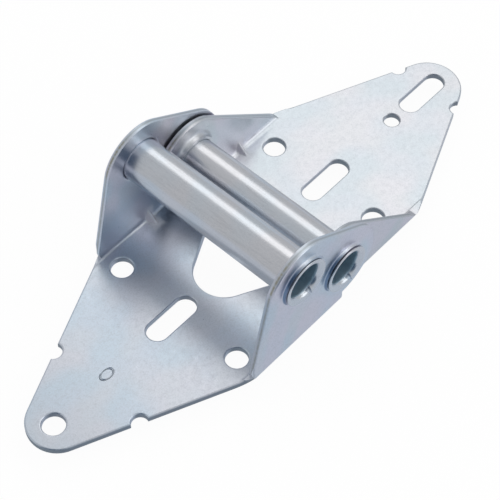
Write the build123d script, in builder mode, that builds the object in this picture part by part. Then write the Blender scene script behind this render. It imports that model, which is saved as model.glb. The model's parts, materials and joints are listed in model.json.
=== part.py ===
from build123d import *
import os
from math import atan2, cos, radians, sin, tan

# Garage door hinge, double-tube type, lying flat with both leaves in one plane.
# Origin on the pivot axis at mid-width. +X runs to the tip of the upper leaf,
# +Y runs along both tubes, +Z points away from the door panel.

# Sheet and bends
sheet = 2.0
lower_bend = 1.2
upper_bend = 1.8
edge_round = 0.5

# Axes
pivot_height = 19.4
roller_back = 18.5
roller_rise = 13.5

# Tubes
tube_r = 7.0
tube_wall = 1.25
mouth_flare = 1.9
lip_r = 8.1
lip_proud = 1.7
lip_round = 0.2
flare_root = 0.7
seam_groove = 0.3
seam_angle = -75.0
nick_wide = 2.6
nick_tip_r = 8.7
nick_depth = 1.5

# Clearances
tube_fit = 0.05
pivot_clearance = 0.08
leaf_gap = 0.7
flare_gap = 0.15

# Lower leaf
lower_width = 66.0
lower_hinge_x = 0.8
lower_corner_x = -38.2
lower_corner_inset = 0.8
lower_tip_x = -96.3
lower_tip_r = 9.9
lower_ear_crown_r = 13.7
lower_ear_crown_drop = 0.6
lower_ear_pivot_r = 14.25
lower_ear_foot = 2.2
lower_ear_heel = 4.5
lower_ear_heel_out = 0.7
lower_mount_x = -36.3
lower_mount_spacing = 47.6
lower_slot_x = -39.3
lower_slot_travel = 11.8
lower_slot_r = 3.6
lower_tip_hole_x = -88.3
lower_tip_hole_r = 3.6
lower_notch_x = -71.1
lower_notch_y = 17.9
lower_notch_r = 2.7
window_end_x = -25.6
window_end_r = 9.7
window_flare = 27.0

# Upper leaf
upper_hinge_x = 2.3
upper_corner_x = 39.5
upper_corner_inset = 0.1
upper_tip_x = 93.3
upper_tip_r = 10.8
upper_ear_r = 13.1
upper_ear_foot = 2.2
upper_mount_x = 29.8
upper_mount_spacing = 41.4
upper_slot_x = 30.9
upper_tip_slot_x = 79.1
upper_slot_travel = 12.0
upper_slot_r = 3.5
small_hole_x = 63.7
small_hole_r = 2.6
upper_notch_x = 82.1
upper_notch_y = 12.7
upper_notch_r = 2.6

# Fixing holes
mount_r = 3.57

# Collars drawn from the ears
outer_collar_r = 8.25
outer_collar_root = 0.8
roller_collar_proud = 1.1
pivot_collar_proud = 0.9
hole_lead_in = 0.8
inner_collar_wall = 0.95
inner_collar_root = 1.6
inner_collar_proud = 2.0

# Gussets pressed into the corners of the bends
gusset_leg = 4.3
gusset_width = 3.4
gusset_round = 0.4
gusset_root = 0.5
lower_gusset_x = -17.3
upper_gusset_x = 21.3

# Sizes that follow from the ones above
mount_z = -pivot_height
bore_r = tube_r - tube_wall
hole_r = tube_r + tube_fit
pivot_hole_r = tube_r + pivot_clearance
roller_x = -roller_back
lower_outer_y = lower_width / 2
lower_corner_y = lower_outer_y - lower_corner_inset
lower_inner_y = lower_outer_y - sheet
upper_outer_y = lower_inner_y - leaf_gap
upper_corner_y = upper_outer_y - upper_corner_inset
upper_inner_y = upper_outer_y - sheet
tube_half = lower_outer_y + lip_proud
flare_seat = lower_outer_y + roller_collar_proud + flare_gap
seat_round = flare_root + 2 * tube_fit
section_height = 2 * (pivot_height + roller_rise + lower_ear_crown_r + sheet + upper_bend)


def folded_section(outer_y, bend_inner):
    """Rounded box section of the folded sheet. Its upper half falls outside the ear outline."""
    with BuildSketch() as section:
        with Locations((0, mount_z + section_height / 2)):
            RectangleRounded(2 * outer_y, section_height, bend_inner + sheet)
            RectangleRounded(
                2 * (outer_y - sheet), section_height - 2 * sheet, bend_inner, mode=Mode.SUBTRACT
            )
    return section.sketch


def tapered_leaf(corner_x, corner_y, tip_x, tip_r):
    """Plan of one leaf: straight sides from the ear corners run tangent into a round tip."""
    center_x = tip_x - tip_r if tip_x > corner_x else tip_x + tip_r
    with BuildSketch() as plan:
        with Locations((center_x, 0)):
            Circle(tip_r)
        with BuildLine():
            Polyline((center_x, 0), (corner_x, corner_y), (corner_x, -corner_y), close=True)
        make_face()
        make_hull()
    return plan.sketch


def level_edges(leaf, flat_y):
    """Edges of the upper face of a leaf, without the lines at flat_y where its bends start."""
    level = mount_z + sheet
    return leaf.edges().filter_by(
        lambda e: abs(e.center().Z - level) < 0.01 and abs(e.center().Y) < flat_y - 0.01
    )


def ear_edges(leaf, face_y, bend_inner):
    """Outline of both ears on their faces at face_y, from the end of the bends upwards."""
    foot = mount_z + sheet + bend_inner
    return leaf.edges().filter_by(
        lambda e: abs(abs(e.center().Y) - face_y) < 0.01 and e.center().Z > foot + 0.01
    )


def tangent_point(start, center, radius, side):
    """Where the line from start touches the circle: side 1 is its left, -1 its right."""
    span_x, span_z = center[0] - start[0], center[1] - start[1]
    reach = (span_x ** 2 + span_z ** 2 - radius ** 2) ** 0.5
    heading = atan2(span_z, span_x) + side * atan2(radius, reach)
    return start[0] + reach * cos(heading), start[1] + reach * sin(heading)


# Ear of the lower leaf: a belt round both axes, standing on the bend
roller_axis = (roller_x, roller_rise)
crown = (roller_x, roller_rise - lower_ear_crown_drop)
lower_foot = (lower_corner_x, mount_z + lower_ear_foot)
lower_heel = (lower_corner_x - lower_ear_heel_out, mount_z + lower_ear_heel)
with BuildSketch() as lower_belt:
    with Locations(crown):
        Circle(lower_ear_crown_r)
    Circle(lower_ear_pivot_r)
    make_hull()

with BuildSketch() as lower_side:
    add(lower_belt.sketch)
    with BuildLine():
        Polyline(
            (lower_tip_x, mount_z),
            (lower_hinge_x, mount_z),
            (lower_hinge_x, 0),
            crown,
            tangent_point(lower_heel, crown, lower_ear_crown_r, 1),
            lower_heel,
            lower_foot,
            (lower_tip_x, mount_z + lower_ear_foot),
            close=True,
        )
    make_face()

# Ear of the upper leaf: round the pivot, then straight down to the corner of the bend
upper_foot = (upper_corner_x, mount_z + upper_ear_foot)
with BuildSketch() as upper_side:
    Circle(upper_ear_r)
    with BuildLine():
        Polyline(
            (upper_tip_x, mount_z),
            (upper_hinge_x, mount_z),
            (upper_hinge_x, 0),
            (0, 0),
            tangent_point(upper_foot, (0, 0), upper_ear_r, -1),
            upper_foot,
            (upper_tip_x, mount_z + upper_ear_foot),
            close=True,
        )
    make_face()

# Window of the lower leaf: round end, sides that spread towards the hinge line
window_x = window_end_x + window_end_r
window_edge_x = lower_hinge_x + 1
spread = radians(window_flare)
window_edge_y = window_end_r / cos(spread) + (window_edge_x - window_x) * tan(spread)
with BuildSketch() as window:
    with Locations((window_x, 0)):
        Circle(window_end_r)
    with BuildLine():
        Polyline(
            (window_x, 0),
            (window_edge_x, window_edge_y),
            (window_edge_x, -window_edge_y),
            close=True,
        )
    make_face()
    make_hull()


def bend_gusset(inner_y):
    """Dart pressed into the corner of a bend at y, its crest sloping from the leaf to the ear."""
    corner = Vector(0, inner_y, mount_z + sheet)
    crest = Vector(0, inner_y - gusset_leg / 2, corner.Z + gusset_leg / 2)
    depth = (crest - corner).length
    with BuildPart() as gusset:
        with BuildSketch(Plane.YZ):
            with BuildLine():
                Polyline(
                    (inner_y - gusset_leg, corner.Z),
                    (inner_y, corner.Z + gusset_leg),
                    (inner_y + gusset_root, corner.Z + gusset_leg),
                    (inner_y + gusset_root, corner.Z - gusset_root),
                    (inner_y - gusset_leg, corner.Z - gusset_root),
                    close=True,
                )
            make_face()
        extrude(amount=gusset_width, both=True)
        with BuildSketch(Plane(origin=crest, x_dir=(1, 0, 0), z_dir=(0, -1, -1))):
            with BuildLine():
                Polyline(
                    (0, 0), (gusset_width, -2 * depth), (-gusset_width, -2 * depth), close=True
                )
            make_face()
        extrude(amount=gusset_leg, both=True, mode=Mode.INTERSECT)
        fillet(
            gusset.edges().filter_by(lambda e: abs((e % 0.5).X) < 0.01 and abs((e @ 0.5).X) < 0.01),
            radius=gusset_round,
        )
    return gusset.part


lower_gusset = bend_gusset(lower_inner_y)
upper_gusset = bend_gusset(upper_inner_y)
lower_section = folded_section(lower_outer_y, lower_bend)
lower_taper = tapered_leaf(lower_corner_x, lower_corner_y, lower_tip_x, lower_tip_r)
upper_section = folded_section(upper_outer_y, upper_bend)
upper_taper = tapered_leaf(upper_corner_x, upper_corner_y, upper_tip_x, upper_tip_r)

# Lower leaf: folded sheet, cut to the side outline and then to the plan
with BuildPart() as lower_leaf:
    with BuildSketch(Plane.YZ.offset(lower_tip_x)):
        add(lower_section)
    extrude(amount=lower_ear_pivot_r - lower_tip_x)

    with BuildSketch(Plane.XZ):
        add(lower_side.sketch)
    extrude(amount=lower_width, both=True, mode=Mode.INTERSECT)

    with BuildSketch(Plane.XY.offset(mount_z)):
        add(lower_taper)
        with Locations(((lower_corner_x + lower_ear_pivot_r) / 2, 0)):
            Rectangle(lower_ear_pivot_r - lower_corner_x, lower_width)
        add(window.sketch, mode=Mode.SUBTRACT)
        with Locations(
            (lower_mount_x, lower_mount_spacing / 2), (lower_mount_x, -lower_mount_spacing / 2)
        ):
            Circle(mount_r, mode=Mode.SUBTRACT)
        with Locations((lower_tip_hole_x, 0)):
            Circle(lower_tip_hole_r, mode=Mode.SUBTRACT)
        with Locations((lower_slot_x, 0)):
            SlotCenterToCenter(lower_slot_travel, 2 * lower_slot_r, mode=Mode.SUBTRACT)
        with Locations((lower_notch_x, lower_notch_y), (lower_notch_x, -lower_notch_y)):
            Circle(lower_notch_r, mode=Mode.SUBTRACT)
    extrude(amount=section_height, mode=Mode.INTERSECT)

    # Edges rolled over by punching and tumbling
    fillet(level_edges(lower_leaf, lower_inner_y - lower_bend), radius=edge_round)
    fillet(ear_edges(lower_leaf, lower_outer_y, lower_bend), radius=edge_round)

    # Collars drawn outwards round both tubes
    for (axis_x, axis_z), proud in ((roller_axis, roller_collar_proud), ((0, 0), pivot_collar_proud)):
        with BuildSketch(Plane.YZ.offset(axis_x)) as collar:
            with BuildLine():
                root = Line(
                    (lower_inner_y + sheet / 2, axis_z + hole_r),
                    (lower_inner_y + sheet / 2, axis_z + outer_collar_r + outer_collar_root),
                )
                face = Line(root @ 1, (lower_outer_y, axis_z + outer_collar_r + outer_collar_root))
                rise = JernArc(start=face @ 1, tangent=(0, -1), radius=outer_collar_root, arc_size=90)
                wall = Line(rise @ 1, (lower_outer_y + proud, axis_z + outer_collar_r))
                rim = Line(wall @ 1, (lower_outer_y + proud, axis_z + hole_r))
                Line(rim @ 1, root @ 0)
            make_face()
            mirror(about=Plane.YZ)
        revolve(axis=Axis((axis_x, 0, axis_z), (0, 1, 0)))

    # Their bores, rounded where drawing leads in and where the flare of the tube seats
    for axis_x, axis_z in (roller_axis, (0, 0)):
        with BuildSketch(Plane.YZ.offset(axis_x)) as bore_tool:
            with BuildLine():
                start = Line(
                    (lower_inner_y - sheet, axis_z),
                    (lower_inner_y - sheet, axis_z + hole_r + hole_lead_in),
                )
                step = Line(start @ 1, (lower_inner_y, axis_z + hole_r + hole_lead_in))
                lead = JernArc(start=step @ 1, tangent=(0, -1), radius=hole_lead_in, arc_size=90)
                wall = Line(lead @ 1, (flare_seat - flare_gap - seat_round, axis_z + hole_r))
                seat = JernArc(start=wall @ 1, tangent=(1, 0), radius=seat_round, arc_size=90)
                out = Line(seat @ 1, (tube_half, (seat @ 1).Y))
                end = Line(out @ 1, (tube_half, axis_z))
                Line(end @ 1, start @ 0)
            make_face()
            mirror(about=Plane.YZ)
        revolve(axis=Axis((axis_x, 0, axis_z), (0, 1, 0)), mode=Mode.SUBTRACT)

    # Gussets across both bends
    with Locations((lower_gusset_x, 0, 0)):
        add(lower_gusset)
        add(lower_gusset.mirror(Plane.XZ))

# Upper leaf: same sheet, ears inside those of the lower leaf
with BuildPart() as upper_leaf:
    with BuildSketch(Plane.YZ.offset(-upper_ear_r)):
        add(upper_section)
    extrude(amount=upper_tip_x + upper_ear_r)

    with BuildSketch(Plane.XZ):
        add(upper_side.sketch)
    extrude(amount=lower_width, both=True, mode=Mode.INTERSECT)

    with BuildSketch(Plane.XY.offset(mount_z)):
        add(upper_taper)
        with Locations(((upper_corner_x - upper_ear_r) / 2, 0)):
            Rectangle(upper_corner_x + upper_ear_r, 2 * upper_outer_y)
        with Locations(
            (upper_mount_x, upper_mount_spacing / 2), (upper_mount_x, -upper_mount_spacing / 2)
        ):
            Circle(mount_r, mode=Mode.SUBTRACT)
        with Locations((small_hole_x, 0)):
            Circle(small_hole_r, mode=Mode.SUBTRACT)
        with Locations((upper_slot_x, 0), (upper_tip_slot_x, 0)):
            SlotCenterToCenter(upper_slot_travel, 2 * upper_slot_r, mode=Mode.SUBTRACT)
        with Locations((upper_notch_x, upper_notch_y), (upper_notch_x, -upper_notch_y)):
            Circle(upper_notch_r, mode=Mode.SUBTRACT)
    extrude(amount=section_height, mode=Mode.INTERSECT)

    # Edges rolled over by punching and tumbling
    fillet(level_edges(upper_leaf, upper_inner_y - upper_bend), radius=edge_round)
    fillet(ear_edges(upper_leaf, upper_inner_y, upper_bend), radius=edge_round)

    # Collars drawn inwards round the pivot tube
    with BuildSketch(Plane.YZ):
        with BuildLine():
            root = Line(
                (upper_inner_y + sheet / 2, pivot_hole_r),
                (upper_inner_y + sheet / 2, pivot_hole_r + inner_collar_wall + inner_collar_root),
            )
            face = Line(root @ 1, (upper_inner_y, (root @ 1).Y))
            rise = RadiusArc(
                face @ 1,
                (upper_inner_y - inner_collar_root, pivot_hole_r + inner_collar_wall),
                inner_collar_root,
            )
            wall = Line(
                rise @ 1, (upper_inner_y - inner_collar_proud, pivot_hole_r + inner_collar_wall)
            )
            rim = Line(wall @ 1, (upper_inner_y - inner_collar_proud, pivot_hole_r))
            Line(rim @ 1, root @ 0)
        make_face()
        mirror(about=Plane.YZ)
    revolve(axis=Axis.Y)

    with BuildSketch(Plane.XZ):
        Circle(pivot_hole_r)
    extrude(amount=lower_width, both=True, mode=Mode.SUBTRACT)

    with Locations((upper_gusset_x, 0, 0)):
        add(upper_gusset)
        add(upper_gusset.mirror(Plane.XZ))

# Tube wall: straight bore, bell mouth and turned-out lip at each end
with BuildSketch() as tube_wall_half:
    with BuildLine():
        bore = Line((0, bore_r), (tube_half - mouth_flare, bore_r))
        mouth = JernArc(start=bore @ 1, tangent=bore % 1, radius=mouth_flare, arc_size=90)
        edge = Line(mouth @ 1, (tube_half, lip_r))
        back = Line(edge @ 1, (flare_seat, lip_r))
        under = Line(back @ 1, (flare_seat, tube_r + flare_root))
        turn = JernArc(start=under @ 1, tangent=(0, -1), radius=flare_root, arc_size=-90)
        outside = Line(turn @ 1, (0, tube_r))
        Line(outside @ 1, bore @ 0)
    make_face()
    fillet(
        tube_wall_half.vertices().filter_by(lambda v: abs(v.Y - lip_r) < 0.01), radius=lip_round
    )
    mirror(about=Plane.YZ)

# Seam of a rolled tube: a fine groove where its edges butt, spread to a nick inside each mouth
with BuildSketch() as seam_line:
    with Locations((tube_r, 0)):
        Rectangle(seam_groove, seam_groove, rotation=45)

with BuildSketch() as seam_nick:
    with BuildLine():
        Polyline(
            (bore_r - tube_wall, nick_wide / 2),
            (nick_tip_r, 0),
            (bore_r - tube_wall, -nick_wide / 2),
            close=True,
        )
    make_face()


def seam_plane(axis_x, axis_z, y):
    """Plane across a tube at y, looking along -Y, with x pointing at the seam."""
    seam = radians(seam_angle)
    return Plane(origin=(axis_x, y, axis_z), x_dir=(cos(seam), 0, sin(seam)), z_dir=(0, -1, 0))


with BuildPart() as roller_tube:
    with BuildSketch(Plane.YZ.offset(roller_x)):
        with Locations((0, roller_rise)):
            add(tube_wall_half.sketch)
    revolve(axis=Axis((roller_x, 0, roller_rise), (0, 1, 0)))
    with BuildSketch(seam_plane(roller_x, roller_rise, tube_half)):
        add(seam_line.sketch)
    extrude(amount=2 * tube_half, mode=Mode.SUBTRACT)
    with BuildSketch(
        seam_plane(roller_x, roller_rise, nick_depth - tube_half),
        seam_plane(roller_x, roller_rise, tube_half),
    ):
        add(seam_nick.sketch)
    extrude(amount=nick_depth, mode=Mode.SUBTRACT)

with BuildPart() as pivot_tube:
    with BuildSketch(Plane.YZ):
        add(tube_wall_half.sketch)
    revolve(axis=Axis.Y)
    with BuildSketch(seam_plane(0, 0, tube_half)):
        add(seam_line.sketch)
    extrude(amount=2 * tube_half, mode=Mode.SUBTRACT)
    with BuildSketch(seam_plane(0, 0, nick_depth - tube_half), seam_plane(0, 0, tube_half)):
        add(seam_nick.sketch)
    extrude(amount=nick_depth, mode=Mode.SUBTRACT)

os.makedirs("parts", exist_ok=True)
lower_leaf.part.label = "lower_leaf"
export_step(lower_leaf.part, "parts/lower_leaf.step")
upper_leaf.part.label = "upper_leaf"
export_step(upper_leaf.part, "parts/upper_leaf.step")
roller_tube.part.label = "roller_tube"
export_step(roller_tube.part, "parts/roller_tube.step")
pivot_tube.part.label = "pivot_tube"
export_step(pivot_tube.part, "parts/pivot_tube.step")
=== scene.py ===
"""Looks of a double-tube garage door hinge in bright zinc plate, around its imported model."""

import json
import math
from collections import namedtuple

import bmesh
import bpy
from mathutils import Matrix, Vector


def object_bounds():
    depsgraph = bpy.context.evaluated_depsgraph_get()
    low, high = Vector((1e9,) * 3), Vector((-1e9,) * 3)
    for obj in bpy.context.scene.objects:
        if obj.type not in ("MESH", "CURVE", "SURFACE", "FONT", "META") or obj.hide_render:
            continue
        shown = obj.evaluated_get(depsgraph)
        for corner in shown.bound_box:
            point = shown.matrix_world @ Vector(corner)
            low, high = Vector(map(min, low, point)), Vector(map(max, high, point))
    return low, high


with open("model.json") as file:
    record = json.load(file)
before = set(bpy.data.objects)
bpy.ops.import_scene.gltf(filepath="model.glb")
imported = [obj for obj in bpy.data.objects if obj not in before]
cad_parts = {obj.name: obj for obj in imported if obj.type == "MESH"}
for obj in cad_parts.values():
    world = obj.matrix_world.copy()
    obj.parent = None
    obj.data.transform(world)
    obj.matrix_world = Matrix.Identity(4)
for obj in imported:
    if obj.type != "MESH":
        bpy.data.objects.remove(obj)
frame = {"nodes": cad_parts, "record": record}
cad_box = [list(corner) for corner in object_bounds()]

MM = 0.001


class Signal:
    """A node's output with arithmetic. An expression on signals adds its Math nodes."""

    def __init__(self, graph, socket):
        self.graph = graph
        self.socket = socket

    def _math(self, operation, *values):
        return self.graph.node("ShaderNodeMath", {"operation": operation}, dict(enumerate(values)))

    def __add__(self, other):
        return self._math("ADD", self, other)

    __radd__ = __add__

    def __sub__(self, other):
        return self._math("SUBTRACT", self, other)

    def __rsub__(self, other):
        return self._math("SUBTRACT", other, self)

    def __mul__(self, other):
        return self._math("MULTIPLY", self, other)

    __rmul__ = __mul__

    def __neg__(self):
        return self * -1.0

    def __abs__(self):
        return self._math("ABSOLUTE", self)

    def max(self, other):
        return self._math("MAXIMUM", self, other)

    def root(self):
        return self._math("SQRT", self)

    def ramp(self, low, high):
        """0 below low, 1 above high, smooth between."""
        inputs = {"Value": self, "From Min": low, "From Max": high}
        return self.graph.node("ShaderNodeMapRange", {"interpolation_type": "SMOOTHSTEP"}, inputs)

    def band(self, middle, half):
        """1 at middle, 0 further than half away, smooth between."""
        return 1 - abs(self - middle).ramp(0, half)


class Graph:
    """The node tree of one material or of the world."""

    def __init__(self, tree):
        self.tree = tree
        tree.nodes.clear()

    def node(self, kind, settings=None, inputs=None, output=0):
        """Adds one node. Its settings are set first, then the values or links of its sockets."""
        made = self.tree.nodes.new(kind)
        for name, value in (settings or {}).items():
            setattr(made, name, value)
        for key, value in (inputs or {}).items():
            if isinstance(value, Signal):
                self.tree.links.new(value.socket, made.inputs[key])
            else:
                made.inputs[key].default_value = value
        return Signal(self, made.outputs[output]) if made.outputs else None

    def mix(self, factor, a, b):
        """Colour a where factor is 0, colour b where it is 1."""
        inputs = {0: factor, 6: a, 7: b}
        return self.node("ShaderNodeMix", {"data_type": "RGBA"}, inputs, output=2)

    def mix_vectors(self, factor, a, b):
        """Vector a where factor is 0, vector b where it is 1."""
        inputs = {0: factor, 4: a, 5: b}
        return self.node("ShaderNodeMix", {"data_type": "VECTOR"}, inputs, output=1)

    def place(self):
        """The point on the piece, in metres."""
        return self.node("ShaderNodeTexCoord", output="Object")

    def facing(self):
        """The way the surface faces, in the piece's own directions."""
        return self.node("ShaderNodeTexCoord", output="Normal")

    def bevel(self, radius, samples):
        """The way the surface would face with its edges rounded to the radius."""
        return self.node("ShaderNodeBevel", {"samples": samples}, {"Radius": radius})

    def parts(self, vector):
        """The X, Y and Z parts of a vector."""
        return [self.node("ShaderNodeSeparateXYZ", None, {0: vector}, output=axis) for axis in "XYZ"]

    def stretched(self, vector, x, y, z):
        """The vector with its parts multiplied, so that noise on it runs long where they are small."""
        inputs = {0: vector, 1: (x, y, z)}
        return self.node("ShaderNodeVectorMath", {"operation": "MULTIPLY"}, inputs)

    def bump(self, height, strength, distance, normal):
        """The normal with a height from 0 to 1 raised on it, distance metres at full strength."""
        inputs = {"Strength": strength, "Distance": distance, "Height": height, "Normal": normal}
        return self.node("ShaderNodeBump", None, inputs)

    def noise(self, place, size, detail=2.0, roughness=0.5):
        """Noise whose blotches are about size metres across."""
        inputs = {"Vector": place, "Scale": 1 / size, "Detail": detail, "Roughness": roughness}
        return self.node("ShaderNodeTexNoise", {"noise_dimensions": "3D"}, inputs)


def material(name):
    """A new material, and the graph of its nodes."""
    made = bpy.data.materials.new(name)
    made.use_nodes = True
    return made, Graph(made.node_tree)


def colour(red, green, blue):
    """An sRGB colour, 0 to 255, as the linear values that a socket takes."""
    def linear(value):
        value = value / 255
        return value / 12.92 if value <= 0.04045 else ((value + 0.055) / 1.055) ** 2.4
    return linear(red), linear(green), linear(blue), 1.0


mounts = {mount["name"]: mount for mount in frame["record"]["mounts"]}


def axis_of(bore):
    """The X and Z of a bore's axis, which runs along Y."""
    x, y, z = mounts[bore]["pos_m"]
    return x, z


# Sizes of the model that its finishes follow, in metres
MOUNT_Z = cad_box[0][2]
ROLLER_AXIS = axis_of("roller_bore")
PIVOT_AXIS = axis_of("pivot_bore")
BORE_R = mounts["pivot_bore"]["dims"]["r_mm"] * MM
SHEET = 2.0 * MM
COLLAR_R = 8.5 * MM  # middle of the slope of a drawn collar
COLLAR_REACH = 10.0 * MM
GUSSET_HALF = 2.2 * MM
GUSSET_TOP = 6.0 * MM
GUSSET_INSET = 2.0 * MM  # from the ear, and from the sheet, to the middle of a gusset
GUSSET_FADE = (2.0 * MM, 4.0 * MM)  # where its softness starts to fade out from there, and where it ends
GUSSET_FADE_X = (1.2 * MM, 3.0 * MM)
STAMP_PLACE = (-66.2 * MM, 0.5 * MM)
STAMP_HALF = (2.3 * MM, 1.5 * MM)
STAMP_DEPTH = 0.35 * MM

# Colours of the plating, and of painted shade on edges, collars and bores
ZINC_ROSE = colour(231, 221, 234)
GRAIN_GREY = colour(184, 189, 195)
SHEAR_GREY = colour(176, 183, 188)
SHEAR_STRAW = colour(150, 144, 116)
SHEAR_PAINTED_SHADE = colour(90, 102, 110)
COLLAR_PAINTED_SHADE = colour(112, 136, 166)
TUBE_COOL = colour(213, 219, 226)
TUBE_PLAIN = colour(219, 219, 223)
TUBE_STREAK = colour(176, 178, 180)
TUBE_GRAIN = colour(186, 190, 196)
BORE_PAINTED_SHADE = colour(196, 218, 230)

# What differs between the leaves: the inner face of the ears, the inner radius of the bends, the place of
# the gussets, the axes of the collars, two tints, and painted shading low down between the ears (painted
# shade on the lower leaf, painted light on the upper)
Leaf = namedtuple("Leaf", "inner_y bend gusset_x axes cool plain deep")
LOWER_LEAF = Leaf(
    inner_y=31.0 * MM,
    bend=1.2 * MM,
    gusset_x=-17.3 * MM,
    axes=(ROLLER_AXIS, PIVOT_AXIS),
    cool=colour(209, 222, 234),
    plain=colour(219, 223, 231),
    deep=colour(150, 170, 196),
)
UPPER_LEAF = Leaf(
    inner_y=28.3 * MM,
    bend=1.8 * MM,
    gusset_x=21.3 * MM,
    axes=(PIVOT_AXIS,),
    cool=colour(207, 215, 221),
    plain=colour(217, 218, 222),
    deep=colour(226, 228, 236),
)


def reach(here, axis):
    """How far a point is from the axis of a tube, which runs along Y."""
    across, up = here[0] - axis[0], here[2] - axis[1]
    return (across * across + up * up).root()


def sheared_edges(leaf, here, facing):
    """Masks of the sheared edge round the flat part, of all sheared edges, and of their torn middle."""
    x, y, z = here
    ears = (1 - abs(facing[1]).ramp(0.35, 0.6)) * (z - (MOUNT_Z + SHEET + leaf.bend)).ramp(0, 0.2 * MM)
    for axis in leaf.axes:
        ears = ears * reach(here, axis).ramp(COLLAR_REACH, COLLAR_REACH + 0.5 * MM)
    beside = abs(x - leaf.gusset_x).ramp(GUSSET_HALF, GUSSET_HALF + 0.4 * MM)
    above = (z - MOUNT_Z).ramp(GUSSET_TOP, GUSSET_TOP + 0.4 * MM)
    ears = ears * beside.max(above)
    flat = (1 - abs(facing[2]).ramp(0.35, 0.6)) * (1 - (z - MOUNT_Z).ramp(SHEET, SHEET + 0.1 * MM))
    depth_ears = (abs(y) - leaf.inner_y) * (1 / SHEET)
    depth_flat = (z - MOUNT_Z) * (1 / SHEET)
    torn = (ears * depth_ears.band(0.5, 0.3)).max(flat * depth_flat.band(0.45, 0.32))
    return flat, ears.max(flat), torn


def pressed_gussets(leaf, here):
    """Mask of the two gussets, which fades out over a few millimetres round them."""
    x, y, z = here
    away = abs(abs(y) - (leaf.inner_y - GUSSET_INSET)).ramp(*GUSSET_FADE)
    away = away.max(abs(z - (MOUNT_Z + SHEET + GUSSET_INSET)).ramp(*GUSSET_FADE))
    return 1 - away.max(abs(x - leaf.gusset_x).ramp(*GUSSET_FADE_X))


def stamped_ring(g, here, normal):
    """The normal with a small plain ring stamped into the top of the lower leaf."""
    x, y, z = here
    across = (x - STAMP_PLACE[0]) * (1 / STAMP_HALF[0])
    along = (y - STAMP_PLACE[1]) * (1 / STAMP_HALF[1])
    ring = (across * across + along * along).root().band(1.0, 0.2)
    ring = ring * (z - (MOUNT_Z + 0.5 * SHEET)).ramp(0, 0.1 * SHEET)
    return g.bump(1 - ring, 1.0, STAMP_DEPTH, normal)


def zinc_sheet(name, leaf, stamped=False):
    """Zinc plate on a stamped leaf: satin faces with faint tints, sheared edges, softly pressed gussets, and
    painted shading between the ears, on edges that face back and round the collars.
    """
    made, g = material(name)
    place = g.place()
    here = g.parts(place)
    facing = g.parts(g.facing())
    flat, sheared, torn = sheared_edges(leaf, here, facing)
    pressed = pressed_gussets(leaf, here)
    beyond = abs(here[1]) - leaf.inner_y
    backward = -facing[0]  # 1 where the surface faces -X

    # Tints: wide faint clouds, rosier on upright faces, and painted shading low down between the ears:
    # painted shade on the lower leaf, painted light on the upper
    cloud = g.noise(place, 16 * MM, 1.0, 0.4)
    rose = g.noise(g.stretched(place, 1.0, 1.0, 0.6), 11 * MM, 1.0, 0.4)
    upright = 1 - abs(facing[2]).ramp(0.3, 0.8)
    tint = g.mix(cloud.ramp(0.35, 0.65), leaf.cool, leaf.plain)
    tint = g.mix(rose.ramp(0.42, 0.6) * (0.1 + 0.4 * upright), tint, ZINC_ROSE)
    within = abs(facing[1]).ramp(0.4, 0.9) * (1 - beyond.ramp(0.2 * MM, 0.6 * MM))
    depth = 1 - here[2].ramp(-4.0 * MM, 8.0 * MM)
    tint = g.mix(0.4 * within * depth, tint, leaf.deep)

    # Satin grain: fine spots, in patches that show them more or less
    fine = g.noise(place, 0.45 * MM, 2.0, 0.6)
    spots = g.noise(place, 1.6 * MM, 2.0, 0.55)
    tint = g.mix(fine.ramp(0.35, 0.7) * (0.2 + 0.2 * spots.ramp(0.3, 0.7)), tint, GRAIN_GREY)

    # Sheared edges: grey, with straw streaks on the crown of the ears, and painted shade where the flat's
    # edge faces back (-X)
    streaks = g.noise(g.stretched(place, 1.0, 0.12, 0.12), 0.5 * MM, 2.0, 0.7)
    crown = backward.ramp(0.2, 0.5) * facing[2].ramp(0.1, 0.4)
    edge_painted_shade = flat * backward.ramp(-0.3, 0.5)
    shear = g.mix(crown * streaks.ramp(0.35, 0.55), SHEAR_GREY, SHEAR_STRAW)
    shear = g.mix(edge_painted_shade, shear, SHEAR_PAINTED_SHADE)
    tint = g.mix((0.8 * torn).max(0.7 * edge_painted_shade), tint, shear)

    # Collars: a painted blue shade on the back of the slope round each mouth, outside the ears
    shade = sum(reach(here, axis).band(COLLAR_R, 1.1 * MM) for axis in leaf.axes)
    outside = beyond.ramp(SHEET, SHEET + 0.25 * MM)
    tint = g.mix(outside * shade * backward.ramp(0.0, 0.4), tint, COLLAR_PAINTED_SHADE)

    # Edges are crisp, but the gussets are pressed softly
    normal = g.mix_vectors(pressed, g.bevel(0.14 * MM, 4), g.bevel(0.9 * MM, 8))
    normal = g.bump(fine, 0.08, 0.05 * MM, normal)
    normal = g.bump(spots, 0.10, 0.08 * MM, normal)
    normal = g.bump(streaks * torn, 0.5, 0.08 * MM, normal)
    if stamped:
        normal = stamped_ring(g, here, normal)
    shader = g.node("ShaderNodeBsdfPrincipled", None, {
        "Base Color": tint,
        "Metallic": 1 - 0.6 * pressed,
        "Roughness": 0.31 + 0.14 * (spots - 0.5) + 0.1 * sheared + 0.1 * pressed,
        "Normal": normal,
    })
    g.node("ShaderNodeOutputMaterial", None, {"Surface": shader})
    return made


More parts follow.
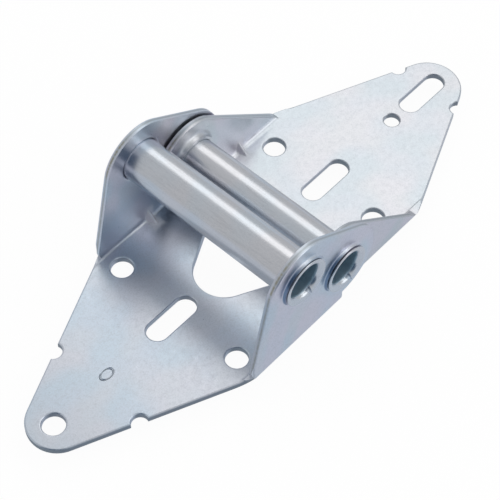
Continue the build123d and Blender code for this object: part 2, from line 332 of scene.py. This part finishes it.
def zinc_tube(name, axis):
    """Zinc plate on a rolled tube: smoother, with long faint streaks, rougher in the bore, and a bluish
    painted shade in the bore.
    """
    made, g = material(name)
    place = g.place()
    inside = 1 - reach(g.parts(place), axis).ramp(BORE_R, BORE_R + 0.2 * MM)
    cloud = g.noise(place, 14 * MM, 1.0, 0.4)
    streaks = g.noise(g.stretched(place, 1.0, 0.08, 1.0), 0.7 * MM, 3.0, 0.65)
    spots = g.noise(place, 0.5 * MM, 2.0, 0.6)
    tint = g.mix(cloud.ramp(0.35, 0.65), TUBE_COOL, TUBE_PLAIN)
    tint = g.mix(0.2 * streaks.ramp(0.45, 0.75), tint, TUBE_STREAK)
    tint = g.mix(0.2 * spots.ramp(0.45, 0.7), tint, TUBE_GRAIN)
    # Bluish painted shade in the bore
    tint = g.mix(inside, tint, BORE_PAINTED_SHADE)
    normal = g.bump(streaks, 0.08, 0.06 * MM, g.bevel(0.1 * MM, 4))
    normal = g.bump(spots, 0.12, 0.05 * MM, normal)
    shader = g.node("ShaderNodeBsdfPrincipled", None, {
        "Base Color": tint,
        "Metallic": 1.0,
        "Roughness": 0.25 + 0.1 * (streaks - 0.5) + 0.2 * inside,
        "Normal": normal,
    })
    g.node("ShaderNodeOutputMaterial", None, {"Surface": shader})
    return made


scene = bpy.context.scene
scene.view_settings.view_transform = "Standard"

# Camera: the photograph's viewpoint, found from the holes and edges it shows
CAMERA_PLACE = Vector((-233.63, -209.26, 428.77)) * MM
CAMERA_AZIMUTH = math.radians(-47.604)
CAMERA_ELEVATION = math.radians(55.263)
camera_data = bpy.data.cameras.new("camera")
camera_data.sensor_width = 36.0
camera_data.lens = 127.14
camera_data.clip_start = 0.01
camera_data.clip_end = 20.0
camera = bpy.data.objects.new("camera", camera_data)
back = Vector((
    math.sin(CAMERA_AZIMUTH) * math.cos(CAMERA_ELEVATION),
    -math.cos(CAMERA_AZIMUTH) * math.cos(CAMERA_ELEVATION),
    math.sin(CAMERA_ELEVATION),
))
camera.location = CAMERA_PLACE
camera.rotation_mode = "QUATERNION"
camera.rotation_quaternion = (-back).to_track_quat("-Z", "Y")
scene.collection.objects.link(camera)
scene.camera = camera


def seen_rays(g):
    """Whether a ray comes straight from the camera, and whether a shiny surface sent it."""
    rays = "ShaderNodeLightPath"
    shiny = g.node(rays, output="Is Glossy Ray").max(g.node(rays, output="Is Transmission Ray"))
    return g.node(rays, output="Is Camera Ray"), shiny


# Surroundings: white to the camera, and an even light on the hinge. Its reflections see a pale room with
# a dark corner towards -X and -Y
STUDIO_BRIGHT = colour(198, 200, 202)
STUDIO_DARK = colour(64, 86, 108)
WHITE = (1, 1, 1, 1)
EVEN_LIGHT = (0.85, 0.85, 0.85, 1)
world = bpy.data.worlds.new("studio")
scene.world = world
world.use_nodes = True
g = Graph(world.node_tree)
direct, shiny = seen_rays(g)
toward = g.parts(g.node("ShaderNodeTexCoord", output="Generated"))
corner = (1 - toward[0].ramp(-0.55, -0.2)) * (1 - toward[1].ramp(-0.05, 0.25))
room = g.mix(corner, STUDIO_BRIGHT, STUDIO_DARK)
seen = g.mix(shiny, g.mix(direct, EVEN_LIGHT, WHITE), room)
sky = g.node("ShaderNodeBackground", None, {"Color": seen, "Strength": 1.0})
g.node("ShaderNodeOutputWorld", None, {"Surface": sky})

# Floor: white to the camera and pale in reflections, with a trace of shadow
FLOOR_PALE = colour(198, 205, 214)
FLOOR_LIT = (0.92, 0.92, 0.92, 1)
FLOOR_WHITE = 0.95
FLOOR_HALF = 3.0
FLOOR_DROP = 5.2 * MM  # room for the upper leaf, which swings three degrees past flat
floor_stuff, g = material("floor")
direct, shiny = seen_rays(g)
lit = g.node("ShaderNodeBsdfDiffuse", None, {"Color": FLOOR_LIT})
white = g.node("ShaderNodeEmission", None, {"Color": g.mix(shiny, WHITE, FLOOR_PALE), "Strength": 1.0})
blend = g.node("ShaderNodeMixShader", None, {0: FLOOR_WHITE * direct.max(shiny), 1: lit, 2: white})
g.node("ShaderNodeOutputMaterial", None, {"Surface": blend})
shape = bmesh.new()
bmesh.ops.create_grid(shape, x_segments=1, y_segments=1, size=FLOOR_HALF)
bmesh.ops.translate(shape, verts=shape.verts, vec=(0, 0, MOUNT_Z - FLOOR_DROP))
floor_mesh = bpy.data.meshes.new("floor")
shape.to_mesh(floor_mesh)
shape.free()
floor_mesh.materials.append(floor_stuff)
floor = bpy.data.objects.new("floor", floor_mesh)
scene.collection.objects.link(floor)


LAMP_DISTANCE = 0.9


def soft_lamp(name, toward, width, length, radiance, tint=(1, 1, 1)):
    """Soft lamp that faces the hinge, its length along Y. Its power follows from the brightness it shows."""
    data = bpy.data.lights.new(name, "AREA")
    data.shape = "RECTANGLE"
    data.size = width
    data.size_y = length
    data.color = tint
    data.energy = radiance * math.pi * width * length
    lamp = bpy.data.objects.new(name, data)
    outward = Vector(toward).normalized()
    across = Vector((0, 1, 0)).cross(outward).normalized()
    along = outward.cross(across)
    lamp.location = outward * LAMP_DISTANCE
    lamp.rotation_mode = "QUATERNION"
    lamp.rotation_quaternion = Matrix((across, along, outward)).transposed().to_quaternion()
    scene.collection.objects.link(lamp)


# Lamps: a long one over the upper leaf, whose shine it gives, and a small low one at the near side
soft_lamp("key", (0.545, 0.06, 0.839), 0.5, 1.3, 0.75, (1.0, 0.985, 0.96))
soft_lamp("side", (0.42, -0.8, 0.36), 0.5, 0.5, 0.95)

for node, finish in (
    ("lower_leaf", zinc_sheet("zinc_lower", LOWER_LEAF, stamped=True)),
    ("upper_leaf", zinc_sheet("zinc_upper", UPPER_LEAF)),
    ("roller_tube", zinc_tube("zinc_roller", ROLLER_AXIS)),
    ("pivot_tube", zinc_tube("zinc_pivot", PIVOT_AXIS)),
):
    for part_slot in frame["nodes"][node].material_slots:
        part_slot.material = finish
